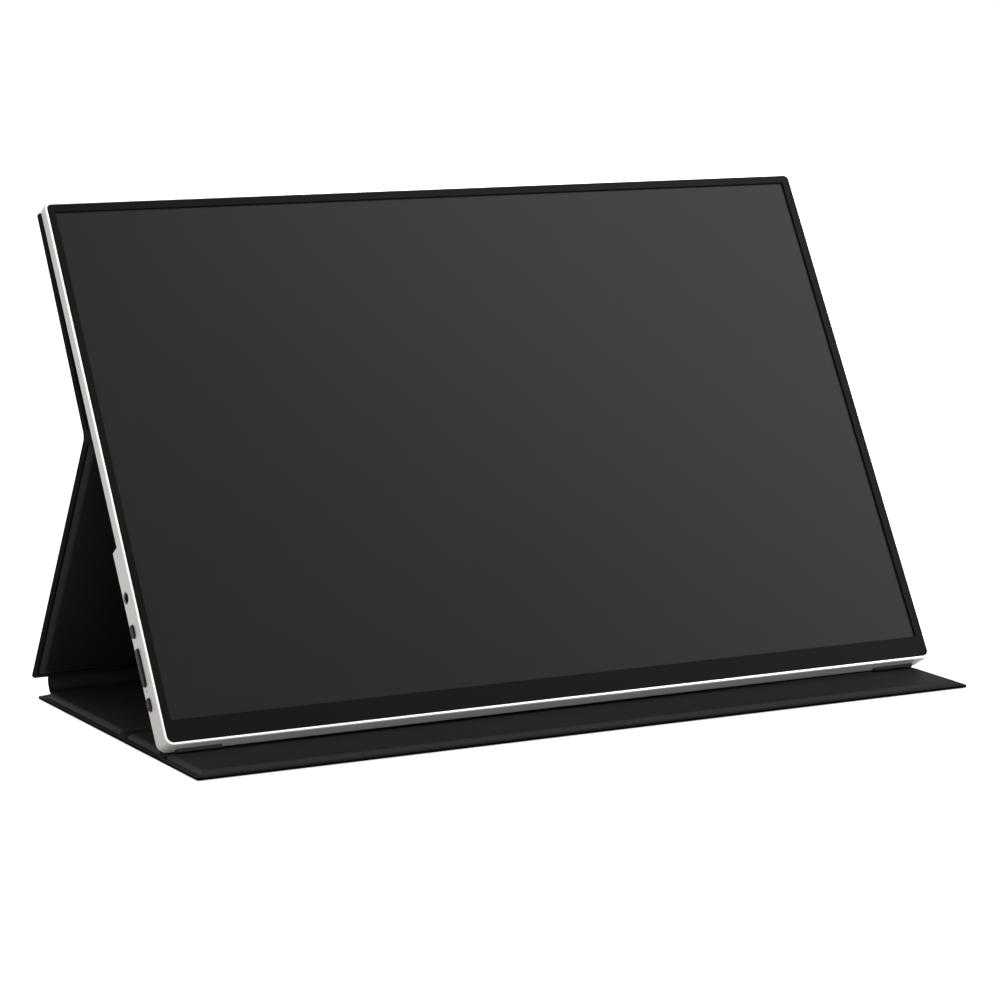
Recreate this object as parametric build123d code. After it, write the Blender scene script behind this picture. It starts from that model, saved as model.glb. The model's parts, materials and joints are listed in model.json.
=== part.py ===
from build123d import *
import os
from math import sin, cos, tan, acos, radians, degrees

# Portable monitor standing in its folding leather cover.
# Millimetres and degrees. X is the width, Y runs to the back, Z is up.
# The monitor is drawn in its own screen frame: x across, y up the screen, z out of the glass,
# with the zero at the middle of the lower edge of the bezel's window, on the bezel's face.
# Each panel of the cover is drawn flat, outer skin down, and then set in its place.

# ---- display and housing ----
window_width = 345.2
window_height = 215.9
screen_lean = 30.54          # back from upright
bezel_side = 3.3             # black border beside the window
bezel_top = 3.1
bezel_chin = 8.9
bezel_thick = 0.8
bezel_play = 0.1
shell_wall = 1.0             # side wall of the rear shell, seen as the silver rim
shell_back = 0.8
rim_proud = 0.4              # the rim stands this far in front of the bezel
ledge_width = 1.2            # step that the bezel sits on
thin_depth = 4.0             # bezel face to the back of the upper part
bump_depth = 9.4             # bezel face to the back of the lower part
bump_height = 82.5           # from the housing's lower edge
bump_slope = 0.6             # lean of the bump's upper wall
bump_root_radius = 0.4
edge_round = 0.6
rim_bevel = 0.3
housing_corner_low = 3.8
housing_corner_high = 3.0
well_corner = 1.2            # of the pocket for the display
window_corner = 0.5
round_sides = 12             # sides of the small hidden posts, screws and holes
clear = 10.0                 # how far a cutting shape reaches past what it cuts
wall_cut = 1.0               # the same, for holes through the thin side walls
bite = 0.1                   # how far joined shapes reach into each other

# ---- display stack ----
stack_play = 0.3
glass_thick = 0.9
guide_thick = 0.7
reflector_thick = 0.15
tray_thick = 0.25
guide_inset = 0.5            # light guide and reflector inside the glass
led_bar_height = 3.0         # room for the lamps below the light guide
led_strip_height = 2.5
led_strip_thick = 0.15
led_strip_gap = 0.2          # above the glass's lower edge
led_end_gap = 2.0
led_count = 24
led_length = 3.0
led_height = 1.4
led_glass_gap = 0.05
driver_board_height = 5.0
driver_board_low = 0.5       # above the tray's lower edge
driver_board_width = 210.0
driver_board_thick = 0.5

# ---- left side: jack, keys, lamp ----
port_line = 6.1              # depth of the side holes' centre line
jack_height = 52.8
jack_hole = 5.0
jack_bore = 3.6
jack_length = 12.0
jack_body = 3.9
jack_body_height = 6.4
jack_chamfer = 0.3
jack_play = 0.05
jack_set_back = 0.3          # nose behind the housing's side
jack_back_wall = 0.8
body_gap = 0.2               # inner bodies to the side wall's inner face
return_height = 38.9
rocker_height = 24.0
lamp_height = 14.3
power_height = 8.9
key_length = 5.4
key_width = 3.0
rocker_length = 15.6
key_proud = 0.9
key_play = 0.2
key_bevel = 0.3
key_flange = 0.7
key_flange_thick = 0.8
key_flange_gap = 0.1         # flange to the side wall at rest
key_reach = 2.2              # end of a key's stem behind the side wall
stem_width = 1.6
key_travel_gap = 0.45
rocker_flange_gap = 0.35
rocker_stem_inset = 2.5      # from the rocker's ends
pin_inset = 0.2              # pin's middle behind the flange's front
pin_radius = 0.5
pin_play = 0.03
pin_blind = 0.4              # how deep the pin sits in the housing's back
ear_gap = 0.15
ear_thick = 0.6
ear_height = 3.0
lamp_diameter = 0.9
lamp_play = 0.05
lamp_rod_reach = 2.0         # past the wall's inner face
lamp_body = 2.0
lamp_body_depth = 2.6
switch_size = 3.0
switch_depth = 3.4
switch_dome = 0.5

# ---- right side: sockets ----
usb_heights = (22.0, 38.0)
usb_width = 8.9
usb_tall = 3.2
usb_length = 7.4
hdmi_height = 56.0
hdmi_width = 11.2
hdmi_tall = 3.2
hdmi_length = 7.6
hdmi_shoulder = 0.8          # share of the half height above its slanted sides
hdmi_corner = 0.35
hdmi_tongue_width = 8.4
hdmi_tongue_rise = 0.1
usb_tongue_width = 6.6
socket_wall = 0.3
socket_back_wall = 1.0
socket_set_back = 0.15       # mouth behind the housing's side
socket_play = 0.12
tongue_thick = 0.7
tongue_set_back = 0.9

# ---- boards, speakers, small parts in the bump ----
board_gap = 0.55             # display tray to the boards
board_thick = 0.8
board_speaker_gap = 4.6      # main board to the right speaker
main_board_height = 58.0
main_board_low = 5.0
main_board_corner = 1.0
key_board_width = 24.0
key_board_height = 60.0
key_board_low = 3.0
key_board_gap = 2.0          # to the side wall, past the keys' flanges
board_wall_gap = 1.2
boss_inset = 5.0             # from a board's edges
boss_socket_gap = 12.0       # further in where the sockets sit
boss_diameter = 5.0
bump_well_corner = 1.0
screw_hole = 1.7
screw_hole_spare = 0.4
screw_diameter = 1.6
screw_head = 3.0
screw_head_thick = 0.5
screw_length = 3.6
chips = (                    # x from the board's left edge, y, width, height, depth
    (40, 34, 18, 18, 1.6), (66, 30, 8, 6, 1.0), (66, 44, 12, 8, 1.1),
    (20, 22, 6, 6, 2.6), (20, 38, 6, 6, 2.6), (84, 18, 5, 5, 2.2))
can_count = 6
can_first = 14.0
can_pitch = 7.0
can_line = 54.0
can_diameter = 4.0
can_depth = 2.8
speaker_width = 46.0
speaker_height = 20.0
speaker_depth = 3.9
speaker_gap = 0.3
speaker_centre = 28.0        # from the middle of the housing
speaker_low = 4.0            # above the housing's lower wall
speaker_corner = 2.0
cone_side = 8.0              # cone opening to the speaker's ends
cone_edge = 3.0              # cone opening to its long edges
cone_depth = 0.8
cone_corner = 4.0
seal_side = 4.0
seal_edge = 1.0
seal_width = 1.5
grille_slots = 9
grille_slot_length = 9.0
grille_slot_width = 1.2
grille_slot_bevel = 0.35     # cut off each slot's corners
grille_pitch = 3.4
cable_width = 18.0
cable_thick = 0.2
cable_place = 20.0           # from the main board's left edge
cable_low = 1.5              # above the tray's lower edge
cable_lap = 6.0
cable_plug = 4.0
cable_drop = 0.6             # below the main board
catch_plate_width = 60.0
catch_plate_height = 14.0
catch_plate_thick = 0.35

# ---- rubber feet under the housing ----
foot_length = 19.4
foot_inset = 6.3             # from the housing's side
foot_height = 1.3
foot_front = 5.4             # from the rim's front
foot_back = 0.7              # from the bump's back
foot_seat = 0.3              # depth of the pocket that holds it
foot_rest_gap = 0.05
foot_play = 0.05
foot_corner = 1.2
foot_bevel = 0.4

# ---- cover ----
cover_left = 0.8             # cover past the housing's left side
cover_right = -3.2           # and past its right side, where it stops short
skin_thick = 0.7             # outer leather
lining_thick = 0.5           # inner leather
board_stiff = 1.7            # stiffening board inside a panel
lip_width = 2.35             # flat margin round a pad
bevel_width = 2.1
pad_corner = 0.8
pad_edge = 0.4               # eased top edge of a pad
back_panel_length = 96.5
back_panel_tilt = 1.7        # how far the panel leans off the housing
back_panel_top = 1.7         # below the housing's upper edge
back_panel_gap = 0.05
leg_pitch = 126.2            # fold line to the leg's lower crease
spine_pitch = 6.6            # between the two creases of the spine
spine_lean = 33.5            # from upright
spine_inset = 7.3            # the spine is this much narrower at each side
leg_crease_reach = 1.7       # upper crease line to the leg's lower edge
base_crease_reach = 3.6      # lower crease line to the base's rear edge
spine_flare = 4.6            # widening of the lower crease where it meets the base
flare_bow = 0.35             # how hollow the widening's curve is
groove_width = 6.5
stand_offset = 0.3           # centre line of the standing groove behind the feet's edge
mid_panel_length = 32.1
front_panel_length = 35.0
panel_corner = 1.2
fold_round = 5.0             # bend of the leather at the fold
crease_round = 0.8           # and at the spine's two creases
bend_room = 0.98             # share of the leather beside a bend that its rounding may use
crease_play = 0.02
spine_reach = 1.2            # crease line to the stiff part of the spine
flare_reach = 2.7            # length of the widening beside the crease
magnet_width = 22.0
magnet_height = 9.0
magnet_thick = 1.2
magnet_play = 0.1
back_magnet_inset = 3.0      # from the pad's edge
flap_magnet_inset = 2.0
back_magnet_x = (-120.0, -60.0, 60.0, 120.0)
flap_magnet_x = (-130.0, 130.0)
catch_plate_x = (-90.0, 90.0)

# ---- sizes that follow ----
bezel_width = window_width + 2 * bezel_side
bezel_low = -bezel_chin
bezel_high = window_height + bezel_top
housing_width = bezel_width + 2 * (bezel_play + shell_wall)
housing_low = bezel_low - bezel_play - shell_wall
housing_high = bezel_high + bezel_play + shell_wall
side = housing_width / 2
bump_top = housing_low + bump_height
inner_side = side - shell_wall
inner_low = housing_low + shell_wall
inner_high = housing_high - shell_wall
well_side = inner_side - ledge_width
well_low = inner_low + ledge_width
well_high = inner_high - ledge_width
inner_corner_low = housing_corner_low - shell_wall
inner_corner_high = housing_corner_high - shell_wall
glass_front = -bezel_thick
guide_front = glass_front - glass_thick
reflector_front = guide_front - guide_thick
tray_front = reflector_front - reflector_thick
tray_back = tray_front - tray_thick
main_board_left = speaker_centre + speaker_width / 2 + board_speaker_gap
main_board_right = well_side - board_wall_gap
board_front = tray_back - board_gap
board_back = board_front - board_thick
floor_thin = -thin_depth + shell_back
floor_bump = -bump_depth + shell_back
port_z = -port_line

cover_width = housing_width + cover_left + cover_right
cover_x = (cover_right - cover_left) / 2
spine_width = cover_width - 2 * spine_inset
lip_thick = skin_thick + lining_thick
panel_thick = lip_thick + board_stiff
half_groove = groove_width / 2
mid_skin = lip_thick / 2

lean = radians(screen_lean)
foot_low = housing_low - foot_height
foot_back_z = -bump_depth + foot_back
foot_front_z = rim_proud - foot_front
lift = lip_thick + foot_rest_gap - foot_low * cos(lean) - foot_back_z * sin(lean)


def screen_point(v, z):
    """Side-view position (Y, Z) of a point v up the screen and z out of it."""
    return v * sin(lean) - z * cos(lean), lift + v * cos(lean) + z * sin(lean)


# Creases of the cover in the side view, each at the middle of the thin leather.
back_tilt = radians(back_panel_tilt)
back_lean = lean - back_tilt
back_up = (sin(back_lean), cos(back_lean))
back_in = (-cos(back_lean), sin(back_lean))
top_inner = screen_point(housing_high - back_panel_top, -thin_depth - back_panel_gap)
top_outer = (top_inner[0] - panel_thick * back_in[0], top_inner[1] - panel_thick * back_in[1])
fold_y = top_outer[0] - back_panel_length * back_up[0] + mid_skin * back_in[0]
fold_z = top_outer[1] - back_panel_length * back_up[1] + mid_skin * back_in[1]
spine_top_z = mid_skin + spine_pitch * cos(radians(spine_lean))
leg_lean = acos((fold_z - spine_top_z) / leg_pitch)
spine_top_y = fold_y + leg_pitch * sin(leg_lean)
spine_low_y = spine_top_y - spine_pitch * sin(radians(spine_lean))
stand_y = screen_point(foot_low, foot_back_z)[0] + stand_offset
second_y = stand_y + groove_width + mid_panel_length
rear_panel_length = spine_low_y - base_crease_reach - second_y - half_groove
leg_length = leg_pitch - half_groove - leg_crease_reach
leg_down = (sin(leg_lean), -cos(leg_lean))
leg_in = (-cos(leg_lean), -sin(leg_lean))

screen_frame = Location(
    Plane(origin=(0, 0, lift), x_dir=(1, 0, 0), z_dir=(0, -cos(lean), sin(lean)))
)


# ---- basic shapes ----
def outline(width, low, high, low_radius=0.0, high_radius=0.0):
    """Upright rectangle about x = 0 with its lower and upper corners rounded."""
    face = Pos(0, (low + high) / 2) * Rectangle(width, high - low)
    if low_radius > 0:
        face = fillet(face.vertices().group_by(Axis.Y)[0], low_radius)
    if high_radius > 0:
        face = fillet(face.vertices().group_by(Axis.Y)[-1], high_radius)
    return face


def slab(face, z_low, z_high):
    return Pos(0, 0, z_low) * extrude(face, z_high - z_low)


def block(x_low, x_high, y_low, y_high, z_low, z_high):
    size = (x_high - x_low, y_high - y_low, z_high - z_low)
    centre = Pos((x_low + x_high) / 2, (y_low + y_high) / 2, (z_low + z_high) / 2)
    return centre * Box(*size)


def post(x, y, diameter, z_low, z_high):
    """Small round post with few sides."""
    face = RegularPolygon(diameter / 2, round_sides)
    return slab(Pos(x, y) * face, z_low, z_high)


def side_plane(x, y, z):
    """Plane facing +X, with its own x along the screen's height."""
    return Plane(origin=(x, y, z), x_dir=(0, 1, 0), z_dir=(1, 0, 0))


def side_slot(length, width, y, z, x_low, x_high):
    return extrude(side_plane(x_low, y, z) * SlotOverall(length, width), x_high - x_low)


def side_rod(diameter, y, z, x_low, x_high):
    return extrude(side_plane(x_low, y, z) * Circle(diameter / 2), x_high - x_low)


def side_bar(length, width, y, z, x_low, x_high):
    return extrude(side_plane(x_low, y, z) * Rectangle(length, width), x_high - x_low)


# ---- housing ----
def step_cutter():
    """Everything behind the thin part and above the bump."""
    reach = bump_depth + clear
    slope = bump_slope / (bump_depth - thin_depth)
    wall_low_y = bump_top - slope * (reach - bump_depth)
    corner = (bump_top + bump_slope, -thin_depth)
    far = housing_high + clear
    points = [corner, (far, -thin_depth), (far, -reach), (wall_low_y, -reach)]
    face = make_face(Polyline(*points, close=True))
    root = face.vertices().sort_by_distance((corner[0], corner[1], 0))[0]
    face = fillet(root, bump_root_radius)
    return extrude(side_plane(-side - clear, 0, 0) * face, housing_width + 2 * clear)


def boss_places():
    left = main_board_left + boss_inset
    right = main_board_right - boss_inset - boss_socket_gap
    low = main_board_low + boss_inset
    high = main_board_low + main_board_height - boss_inset
    key_x = -well_side + key_board_gap + key_board_width - boss_inset
    return [(left, low), (left, high), (right, low), (right, high), (key_x, low), (key_x, high)]


def grille_places():
    run = (grille_slots - 1) * grille_pitch
    places = []
    for sign in (-1, 1):
        for i in range(grille_slots):
            places.append((sign * speaker_centre - run / 2 + i * grille_pitch, speaker_middle()))
    return places


def speaker_middle():
    return inner_low + speaker_low + speaker_height / 2


def make_rear_shell():
    outer_face = outline(housing_width, housing_low, housing_high, housing_corner_low,
                         housing_corner_high)
    shell = slab(outer_face, -bump_depth, rim_proud)
    shell -= step_cutter()
    back_edges = shell.faces().sort_by(Axis.Z)[0].edges()
    shell = fillet(back_edges, edge_round)
    front_edges = shell.faces().sort_by(Axis.Z)[-1].edges()
    shell = chamfer(front_edges, rim_bevel)

    bezel_seat = outline(2 * inner_side, inner_low, inner_high, inner_corner_low,
                         inner_corner_high)
    shell -= slab(bezel_seat, -bezel_thick, rim_proud + clear)
    shell -= slab(outline(2 * well_side, well_low, well_high, well_corner, well_corner),
                  floor_thin, 0)
    bump_well = outline(2 * well_side, well_low, bump_top - shell_wall, well_corner,
                        bump_well_corner)
    shell -= slab(bump_well, floor_bump, 0)

    for x, y in boss_places():
        shell += post(x, y, boss_diameter, floor_bump - bite, board_back)
    for x, y in boss_places():
        depth = screw_length - board_thick + screw_hole_spare
        shell -= post(x, y, screw_hole, board_back - depth, board_back)

    shell += block(-well_side - bite, rocker_pin_x() + pin_radius + bite,
                   rocker_height - ear_height / 2, rocker_height + ear_height / 2,
                   ear_front() - ear_thick, ear_front())
    shell -= make_rocker_pin()

    left, right = -side - wall_cut, -well_side + wall_cut
    shell -= side_rod(jack_hole, jack_height, port_z, left, right)
    for y, length in ((return_height, key_length), (power_height, key_length),
                      (rocker_height, rocker_length)):
        opening = length + 2 * key_play
        shell -= side_slot(opening, key_width + 2 * key_play, y, port_z, left, right)
    shell -= side_rod(lamp_diameter + 2 * lamp_play, lamp_height, port_z, left, right)
    left, right = well_side - wall_cut, side + wall_cut
    for y in usb_heights:
        shell -= side_slot(usb_width + socket_play, usb_tall + socket_play, y, port_z, left, right)
    hole = side_plane(left, hdmi_height, port_z) * offset(hdmi_face(), socket_play / 2)
    shell -= extrude(hole, right - left)

    for x, y in grille_places():
        slot = Rectangle(grille_slot_width, grille_slot_length)
        slot = chamfer(slot.vertices(), grille_slot_bevel)
        shell -= slab(Pos(x, y) * slot, -bump_depth - wall_cut, floor_bump + wall_cut)
    for sign in (-1, 1):
        shell -= foot_form(sign, housing_low + foot_seat, housing_low - wall_cut, foot_play)
    return shell


def foot_form(sign, high, low, play=0.0):
    """Strip with rounded ends across the lower face of the housing."""
    centre_x = sign * (side - foot_inset - foot_length / 2)
    middle_z = (foot_front_z + foot_back_z) / 2
    depth = foot_front_z - foot_back_z
    plane = Plane(origin=(centre_x, high, middle_z), x_dir=(1, 0, 0), z_dir=(0, -1, 0))
    face = RectangleRounded(foot_length + 2 * play, depth + 2 * play, foot_corner)
    return extrude(plane * face, high - low)


def make_foot(sign):
    foot = foot_form(sign, housing_low + foot_seat - foot_play, foot_low)
    low_face = foot.faces().sort_by(Axis.Y)[0]
    return chamfer(low_face.edges(), foot_bevel)


def make_front_bezel():
    outer = outline(bezel_width, bezel_low, bezel_high, inner_corner_low - bezel_play,
                    inner_corner_high - bezel_play)
    window = outline(window_width, 0, window_height, window_corner, window_corner)
    return slab(outer - window, -bezel_thick, 0)


# ---- display stack ----
def stack_outline():
    radius = well_corner - stack_play
    return outline(2 * (well_side - stack_play), well_low + stack_play, well_high - stack_play,
                   radius, radius)


def make_display_panel():
    return slab(stack_outline(), guide_front, glass_front)


def guide_low():
    return well_low + stack_play + led_bar_height


def guide_outline():
    inset = stack_play + guide_inset
    return outline(2 * (well_side - inset), guide_low(), well_high - inset, 0, well_corner - inset)


def make_light_guide():
    return slab(guide_outline(), reflector_front, guide_front)


def make_reflector():
    return slab(guide_outline(), tray_front, reflector_front)


def make_tray():
    return slab(stack_outline(), tray_back, tray_front)


def make_led_bar():
    half = well_side - stack_play - led_end_gap
    low = well_low + stack_play + led_strip_gap
    top = low + led_strip_height
    strip_front = tray_front + led_strip_thick
    bar = block(-half, half, low, top, tray_front, strip_front)
    pitch = 2 * (half - led_length) / (led_count - 1)
    lamps = []
    for i in range(led_count):
        x = -half + led_length + i * pitch
        lamps.append(block(x - led_length / 2, x + led_length / 2, top - led_height, top,
                           strip_front, guide_front - led_glass_gap))
    return bar + lamps


def make_driver_board():
    low = well_low + stack_play + driver_board_low
    face = outline(driver_board_width, low, low + driver_board_height)
    return slab(face, tray_back - driver_board_thick, tray_back)


def make_catch_plates():
    high = back_magnet_line() + catch_plate_height / 2
    low = back_magnet_line() - catch_plate_height / 2
    plates = []
    for x in catch_plate_x:
        plate = outline(catch_plate_width, low, high)
        plates.append(Pos(x, 0, 0) * slab(plate, floor_thin, floor_thin + catch_plate_thick))
    return Compound(plates)


def back_magnet_line():
    """Height up the screen of the cover's magnets."""
    return housing_high - back_panel_top - lip_width - bevel_width - magnet_height


# ---- boards and what they carry ----
def make_main_board():
    low, high = main_board_low, main_board_low + main_board_height
    board = block(main_board_left, main_board_right, low, high, board_back, board_front)
    board = chamfer(board.edges().filter_by(Axis.Z), main_board_corner)
    return board - screw_holes(boss_places()[:4])


def screw_holes(places):
    low, high = board_back - wall_cut, board_front + wall_cut
    return [post(x, y, screw_hole, low, high) for x, y in places]


def make_board_parts():
    """Video processor, memory, power coils and capacitors under the main board."""
    left = main_board_left
    shapes = []
    for x, y, width, height, depth in chips:
        shapes.append(block(left + x - width / 2, left + x + width / 2, y - height / 2,
                            y + height / 2, board_back - depth, board_back))
    for i in range(can_count):
        x = left + can_first + can_pitch * i
        shapes.append(post(x, can_line, can_diameter, board_back - can_depth, board_back))
    return Compound(shapes)


def make_key_board():
    left = -well_side + key_board_gap
    low, high = key_board_low, key_board_low + key_board_height
    board = block(left, left + key_board_width, low, high, board_back, board_front)
    return board - screw_holes(boss_places()[4:])


def switch_face_x():
    """Where the stems of the side keys meet their switches, less the travel."""
    return -well_side + key_reach


def rocker_offset():
    return rocker_length / 2 - rocker_stem_inset


def switch_heights():
    return (power_height, return_height, rocker_height - rocker_offset(),
            rocker_height + rocker_offset())


def make_key_switches():
    switches = []
    for y in switch_heights():
        dome_face = switch_face_x() + key_travel_gap
        face = dome_face + switch_dome
        body = block(face, face + switch_size, y - switch_size / 2, y + switch_size / 2,
                     board_back - switch_depth, board_back)
        switches.append(body + side_bar(stem_width, stem_width, y, port_z, dome_face, face))
    return Compound(switches)


def make_key(y):
    """Press key: a pill cap, a flange behind the wall and a stem to the switch."""
    inner_face = -well_side + key_flange_gap
    key = key_cap(key_length, y, inner_face)
    return key + key_stem(y, inner_face + key_flange_thick)


def key_cap(length, y, inner_face):
    cap = side_slot(length, key_width, y, port_z, -side - key_proud, inner_face)
    tip = cap.faces().sort_by(Axis.X)[0]
    cap = chamfer(tip.edges(), key_bevel)
    flange = side_bar(length + 2 * key_flange, key_width + 2 * key_flange, y, port_z,
                      inner_face, inner_face + key_flange_thick)
    return cap + flange


def key_stem(y, start):
    return side_bar(stem_width, stem_width, y, port_z, start, switch_face_x())


def make_rocker():
    """Two-way key that tips about a pin across its middle."""
    inner_face = -well_side + rocker_flange_gap
    rocker = key_cap(rocker_length, rocker_height, inner_face)
    for sign in (-1, 1):
        y = rocker_height + sign * rocker_offset()
        rocker += key_stem(y, inner_face + key_flange_thick)
    bore = Pos(rocker_pin_x(), rocker_height, port_z) * Cylinder(pin_radius + pin_play, clear)
    return rocker - bore


def rocker_pin_x():
    return -well_side + rocker_flange_gap + pin_inset


def ear_front():
    """Front face of the small ear that holds the rocker's pin."""
    return port_z + key_width / 2 + key_flange + ear_gap + ear_thick


def make_rocker_pin():
    pin = Pos(rocker_pin_x(), rocker_height) * Circle(pin_radius)
    return slab(pin, floor_bump - pin_blind, ear_front())


def make_status_lamp():
    inner = -well_side + lamp_rod_reach
    rod = side_rod(lamp_diameter, lamp_height, port_z, -side, inner)
    body = block(inner, inner + lamp_body, lamp_height - lamp_body / 2,
                 lamp_height + lamp_body / 2, board_back - lamp_body_depth, board_back)
    return rod + body


def make_headphone_jack():
    start = -side + jack_set_back
    face = -well_side + body_gap
    end = face + jack_length
    nose = side_rod(jack_hole - 2 * jack_play, jack_height, port_z, start, face)
    body = block(face, end, jack_height - jack_body_height / 2,
                 jack_height + jack_body_height / 2, port_z - jack_body / 2,
                 port_z + jack_body / 2)
    body = chamfer(body.edges().filter_by(Axis.X), jack_chamfer)
    bore = side_rod(jack_bore, jack_height, port_z, start - wall_cut, end - jack_back_wall)
    return nose + body - bore


def make_usb_socket(y):
    end = side - socket_set_back
    start = end - usb_length
    can = side_slot(usb_width, usb_tall, y, port_z, start, end)
    hollow = side_slot(usb_width - 2 * socket_wall, usb_tall - 2 * socket_wall, y, port_z,
                       start + socket_back_wall, end + wall_cut)
    return can - hollow + socket_tongue(start, end, y, usb_tongue_width, port_z - tongue_thick / 2)


def socket_tongue(start, end, y, width, z):
    return block(start + socket_back_wall - bite, end - tongue_set_back, y - width / 2,
                 y + width / 2, z, z + tongue_thick)


def hdmi_face():
    half = hdmi_width / 2
    tall = hdmi_tall / 2
    shoulder = tall * hdmi_shoulder
    points = [(-half, tall), (half, tall), (half, tall - shoulder), (half - shoulder, -tall),
              (-half + shoulder, -tall), (-half, tall - shoulder)]
    face = make_face(Polyline(*points, close=True))
    return fillet(face.vertices(), hdmi_corner)


def make_hdmi_socket():
    end = side - socket_set_back
    start = end - hdmi_length
    y = hdmi_height
    can = extrude(side_plane(start, y, port_z) * hdmi_face(), hdmi_length)
    inner = offset(hdmi_face(), -socket_wall)
    hollow = extrude(side_plane(start + socket_back_wall, y, port_z) * inner, hdmi_length)
    tongue = socket_tongue(start, end, y, hdmi_tongue_width, port_z + hdmi_tongue_rise)
    return can - hollow + tongue


def make_speaker(sign):
    centre = Pos(sign * speaker_centre, speaker_middle())
    back = floor_bump + speaker_gap
    face = Rectangle(speaker_width, speaker_height)
    face = chamfer(face.vertices(), speaker_corner)
    cone = Rectangle(speaker_width - 2 * cone_side, speaker_height - 2 * cone_edge)
    cone = chamfer(cone.vertices(), cone_corner)
    box = slab(centre * face, back, back + speaker_depth)
    return box - slab(centre * cone, back, back + cone_depth)


def make_speaker_rims():
    """Foam rings that seal the speakers to the housing's back."""
    rims = []
    for sign in (-1, 1):
        length = speaker_width - 2 * seal_side
        width = speaker_height - 2 * seal_edge
        ring = Rectangle(length, width)
        ring -= Rectangle(length - 2 * seal_width, width - 2 * seal_width)
        centre = Pos(sign * speaker_centre, speaker_middle())
        rims.append(slab(centre * ring, floor_bump, floor_bump + speaker_gap))
    return Compound(rims)


def make_board_screws():
    screws = []
    for x, y in boss_places():
        shaft = post(x, y, screw_diameter, board_front - screw_length, board_front)
        head = post(x, y, screw_head, board_front, board_front + screw_head_thick)
        screws.append(shaft + head)
    return Compound(screws)


def make_display_cable():
    """Flat ribbon from the driver board up and over to the main board."""
    left = main_board_left + cable_place - cable_width / 2
    right = left + cable_width
    low = well_low + stack_play + cable_low
    bend = low + cable_lap
    far = main_board_low + 2 * cable_plug
    top_z = tray_back - driver_board_thick
    run_z = board_back - cable_drop
    first = block(left, right, low, bend, top_z - cable_thick, top_z)
    drop = block(left, right, bend - cable_thick, bend, run_z, top_z)
    run = block(left, right, bend - cable_thick, far, run_z, run_z + cable_thick)
    plug = block(left, right, far - cable_plug, far, run_z + cable_thick, board_back)
    return first + drop + run + plug


# ---- cover ----
def panel_outline(length, radii):
    return outline(cover_width, 0, length, radii[0], radii[1])


def pad_form(length, lips, z_low, z_high):
    """Raised pad with bevelled sides: foot outline below, smaller top outline above."""
    low, high = lips
    foot_width = cover_width - 2 * lip_width
    foot = outline(foot_width, low, length - high, pad_corner, pad_corner)
    top = outline(foot_width - 2 * bevel_width, low + bevel_width, length - high - bevel_width,
                  pad_corner, pad_corner)
    return loft([Pos(0, 0, z_low) * foot, Pos(0, 0, z_high) * top], ruled=True)


def make_skin(length, radii):
    return slab(panel_outline(length, radii), 0, skin_thick)


def make_board(length, lips, magnets=()):
    form = pad_form(length, lips, skin_thick, skin_thick + board_stiff)
    for x, y in magnets:
        pocket = Pos(x, y, 0) * Rectangle(magnet_width + 2 * magnet_play,
                                          magnet_height + 2 * magnet_play)
        form -= slab(pocket, 0, skin_thick + magnet_thick + magnet_play)
    return form


def make_lining(length, radii, lips):
    margin = slab(panel_outline(length, radii), skin_thick, lip_thick)
    pad = pad_form(length, lips, lip_thick, panel_thick)
    pad = chamfer(pad.faces().sort_by(Axis.Z)[-1].edges(), pad_edge)
    hollow = pad_form(length, lips, skin_thick, skin_thick + board_stiff)
    return margin + pad - hollow


def make_magnets(places):
    bars = []
    for x, y in places:
        bar = Pos(x, y, 0) * Rectangle(magnet_width, magnet_height)
        bars.append(slab(bar, skin_thick, skin_thick + magnet_thick))
    return Compound(bars)


def place_panel(y, z, inner):
    """Frame of a flat panel whose outer skin starts at (y, z), with its inner side facing inner."""
    return Location(Plane(origin=(cover_x, y, z), x_dir=(1, 0, 0), z_dir=(0, *inner)))


def band(points, width, thick, radius):
    """Bent strip of leather that follows points in the side view, half its thickness each side."""
    outer = side_path(points, thick / 2, radius)
    inner = side_path(points, -thick / 2, radius)
    ends = [Line(outer @ 1, inner @ 1), Line(inner @ 0, outer @ 0)]
    face = make_face(Wire([*outer.edges(), ends[0], *inner.edges(), ends[1]]))
    return extrude(side_plane(cover_x - width / 2, 0, 0) * face, width)


def side_path(points, shift, radius):
    """The middle line moved sideways by shift, with its one bend rounded."""
    (ay, az), (by, bz), (cy, cz) = points
    before = Vector(by - ay, bz - az)
    after = Vector(cy - by, cz - bz)
    first = before.normalized()
    second = after.normalized()
    first_side = Vector(-first.Y, first.X) * shift
    second_side = Vector(-second.Y, second.X) * shift
    turn = first.get_signed_angle(second, Vector(0, 0, 1))
    reach = shift * tan(radians(turn) / 2)
    bend = Vector(by, bz) + first_side - first * reach
    start = Vector(ay, az) + first_side
    end = Vector(cy, cz) + second_side
    room = bend_room * min(before.length, after.length) / tan(radians(abs(turn)) / 2)
    middle_radius = min(radius, room)
    bend_radius = middle_radius - shift if turn > 0 else middle_radius + shift
    return FilletPolyline(start, bend, end, radius=bend_radius)


def flares(edge_y):
    """Hollow-curved tails that widen the lower crease where it meets the base."""
    half = spine_width / 2
    reach = flare_reach
    tails = []
    for sign in (-1, 1):
        tip = (sign * (half + spine_flare), 0)
        root = (sign * half, reach)
        middle = (sign * (half + spine_flare * flare_bow), reach * flare_bow)
        back = sign * (half - bite)
        lines = [ThreePointArc(tip, middle, root), Line(root, (back, reach)),
                 Line((back, reach), (back, 0)), Line((back, 0), tip)]
        tails.append(Pos(cover_x, edge_y, 0) * extrude(make_face(Wire(lines)), lip_thick))
    return tails


def along(point, direction, distance):
    return point[0] + direction[0] * distance, point[1] + direction[1] * distance


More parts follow.
